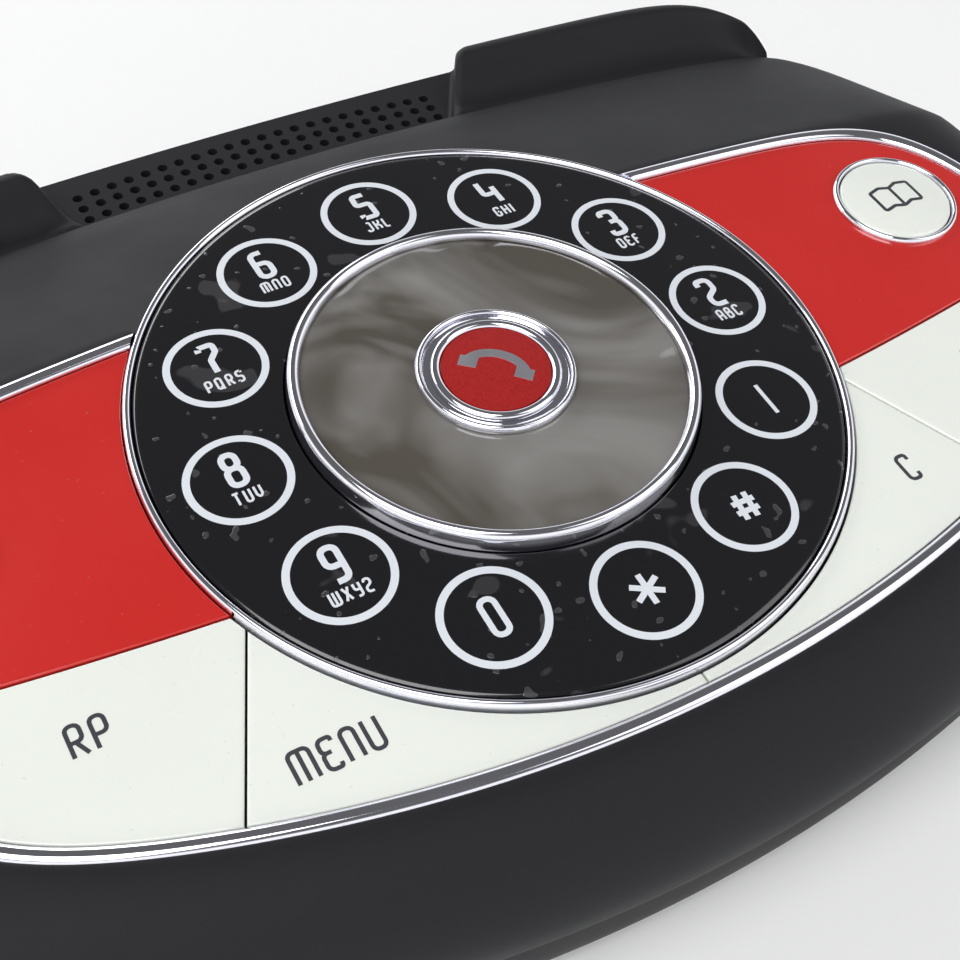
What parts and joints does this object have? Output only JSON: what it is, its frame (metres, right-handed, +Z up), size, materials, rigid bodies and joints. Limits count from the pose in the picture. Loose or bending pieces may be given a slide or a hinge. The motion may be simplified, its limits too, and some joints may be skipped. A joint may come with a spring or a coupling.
{
  "type": "novelty desk telephone base",
  "caption": "Dashboard-shaped desk telephone base with a round touch dial, glossy colour band, panel keys and a handset deck over a loudspeaker grille.",
  "frame": {"origin": "centre of the footprint box at the level of the feet", "axes": "+Z up, -Y towards the user in front of the phone, +X to the user's right"},
  "size_m": [0.2132, 0.149, 0.0503],
  "materials": {
    "soft_touch_black": "soft-touch matte lacquer",
    "base_black": "fine spark-eroded texture",
    "inner_black": "moulded, unpainted",
    "dial_black": "polished with printed white rings and numerals",
    "red_gloss": "high gloss lacquer",
    "white_gloss": "high gloss, ivory white, dark printing",
    "chrome": "bright plated plastic",
    "smoked_lens": "smoke-tinted clear acrylic",
    "badge_red": "translucent enamel over metal",
    "display_glass": "switched-off liquid crystal display",
    "circuit_board": "solder resist",
    "chip_black": "moulded epoxy",
    "capacitor_sleeve": "shrink sleeve",
    "connector_white": "moulded nylon",
    "silicone": "moulded silicone rubber",
    "foam_black": "closed-cell foam",
    "cone_black": "formed film",
    "rubber_black": "matt rubber",
    "plated_steel": "zinc plated",
    "contact_gold": "gold flash",
    "jack_black": "moulded nylon",
    "battery_sleeve": null
  },
  "bodies": {
    "phone_base": {"front_shell": "soft_touch_black", "rear_deck": "soft_touch_black", "base_shell": "base_black", "panel_trim": "chrome", "red_fascia_left": "red_gloss", "red_fascia_right": "red_gloss", "phonebook_key_ring": "chrome", "speaker_key_ring": "chrome", "dial_housing": "inner_black", "dial_outer_ring": "chrome", "dial_plate": "dial_black", "dial_inner_ring": "chrome", "display_lens": "smoked_lens", "badge_bezel": "chrome", "badge_disc": "badge_red", "touch_board": "circuit_board", "display_module": "display_glass", "display_frame": "inner_black", "key_membrane_left": "silicone", "key_membrane_right": "silicone", "key_board_left": "circuit_board", "key_board_right": "circuit_board", "key_frame": "inner_black", "main_board": "circuit_board", "main_processor": "chip_black", "board_capacitors": "capacitor_sleeve", "ribbon_connectors": "connector_white", "loudspeaker_frame": "plated_steel", "loudspeaker_magnet": "plated_steel", "loudspeaker_cone": "cone_black", "loudspeaker_gasket": "foam_black", "microphone_capsule": "plated_steel", "microphone_boot": "rubber_black", "hook_spring": "plated_steel", "hook_guide": "inner_black", "hook_switch": "chip_black", "line_jack": "jack_black", "handset_jack": "jack_black", "power_jack": "jack_black", "power_jack_pin": "contact_gold", "ringer_switch_body": "jack_black", "battery_tray": "inner_black", "battery_cells": "battery_sleeve", "battery_contacts": "plated_steel", "steel_ballast": "plated_steel", "rubber_feet": "rubber_black", "base_screws": "plated_steel", "board_screws": "plated_steel", "frame_screws": "plated_steel"},
    "redial_key_body": {"redial_key": "white_gloss"},
    "menu_key_body": {"menu_key": "white_gloss"},
    "clear_key_body": {"clear_key": "white_gloss"},
    "ok_key_body": {"ok_key": "white_gloss"},
    "phonebook_key_body": {"phonebook_key_cap": "white_gloss"},
    "speaker_key_body": {"speaker_key_cap": "white_gloss"},
    "hook_plunger_body": {"hook_plunger": "inner_black"},
    "ringer_knob_body": {"ringer_switch_knob": "connector_white"},
    "battery_door_body": {"battery_door": "base_black"}
  },
  "joints": [
    {"name": "redial_key_press", "type": "slide", "parent": "phone_base", "child": "redial_key_body", "axis": [0, 0.1736, -0.9848], "range_m": [0, 0.001], "stiffness_N_per_m": 700},
    {"name": "menu_key_press", "type": "slide", "parent": "phone_base", "child": "menu_key_body", "axis": [0, 0.1736, -0.9848], "range_m": [0, 0.001], "stiffness_N_per_m": 700},
    {"name": "clear_key_press", "type": "slide", "parent": "phone_base", "child": "clear_key_body", "axis": [0, 0.1736, -0.9848], "range_m": [0, 0.001], "stiffness_N_per_m": 700},
    {"name": "ok_key_press", "type": "slide", "parent": "phone_base", "child": "ok_key_body", "axis": [0, 0.1736, -0.9848], "range_m": [0, 0.001], "stiffness_N_per_m": 700},
    {"name": "phonebook_key_press", "type": "slide", "parent": "phone_base", "child": "phonebook_key_body", "axis": [0, 0.1736, -0.9848], "range_m": [0, 0.001], "stiffness_N_per_m": 700},
    {"name": "speaker_key_press", "type": "slide", "parent": "phone_base", "child": "speaker_key_body", "axis": [0, 0.1736, -0.9848], "range_m": [0, 0.001], "stiffness_N_per_m": 700},
    {"name": "hook_plunger_press", "type": "slide", "parent": "phone_base", "child": "hook_plunger_body", "axis": [0, 0, -1], "range_m": [0, 0.003], "stiffness_N_per_m": 160, "deforming": ["hook_spring"]},
    {"name": "ringer_switch_slide", "type": "slide", "parent": "phone_base", "child": "ringer_knob_body", "axis": [1, 0, 0], "range_m": [-0.0025, 0.0025]},
    {"name": "battery_door_lift", "type": "slide", "parent": "phone_base", "child": "battery_door_body", "axis": [0, 0, -1], "range_m": [0, 0.012]}
  ]
}
